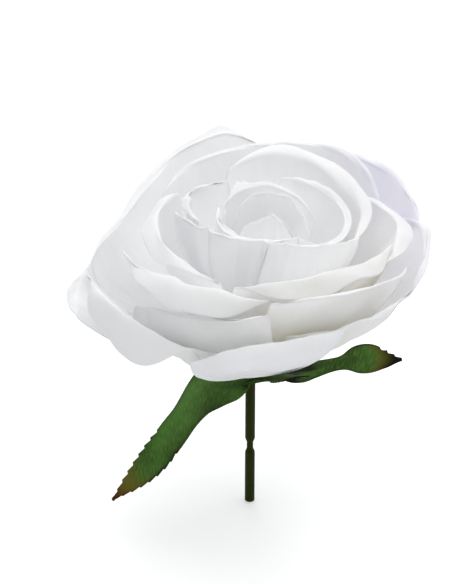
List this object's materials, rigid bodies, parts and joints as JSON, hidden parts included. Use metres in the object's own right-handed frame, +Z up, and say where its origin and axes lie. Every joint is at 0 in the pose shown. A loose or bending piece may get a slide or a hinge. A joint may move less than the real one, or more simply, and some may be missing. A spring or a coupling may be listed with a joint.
{
  "type": "artificial rose bloom",
  "caption": "Open white artificial rose bloom of cut, heat-shaped cloth petals with a green cloth calyx, on a short moulded stem that is stuck into foam, a vase or a stem tube.",
  "frame": {"origin": "middle of the stem's cut lower end", "axes": "+Z up along the stem, -Y towards the front of the bloom that the picture shows, +X to the right in that view"},
  "size_m": [0.1157, 0.1144, 0.115],
  "materials": {
    "petal_fabric": "smooth white polyester cloth, heat-shaped, with a faint satin sheen",
    "sepal_fabric": "printed green polyester cloth with brown tips",
    "stem_plastic": "moulded olive green polyethylene, satin",
    "core_plastic": "moulded green polyethylene, nearly all hidden inside the bloom"
  },
  "bodies": {
    "root": {"stem": "stem_plastic", "petal_core": "core_plastic", "calyx": "sepal_fabric", "bud_heart": "petal_fabric", "bud_petal_1": "petal_fabric", "bud_petal_2": "petal_fabric", "bud_petal_3": "petal_fabric", "bud_petal_4": "petal_fabric", "bud_petal_5": "petal_fabric", "inner_petal_1": "petal_fabric", "inner_petal_2": "petal_fabric", "inner_petal_3": "petal_fabric", "inner_petal_4": "petal_fabric", "middle_petal_1": "petal_fabric", "middle_petal_2": "petal_fabric", "middle_petal_3": "petal_fabric", "middle_petal_4": "petal_fabric", "middle_petal_5": "petal_fabric", "middle_petal_6": "petal_fabric", "outer_petal_1": "petal_fabric", "outer_petal_2": "petal_fabric", "outer_petal_3": "petal_fabric", "outer_petal_4": "petal_fabric", "outer_petal_5": "petal_fabric", "outer_petal_6": "petal_fabric", "outer_petal_7": "petal_fabric", "outer_petal_8": "petal_fabric", "outer_petal_9": "petal_fabric"}
  },
  "joints": []
}
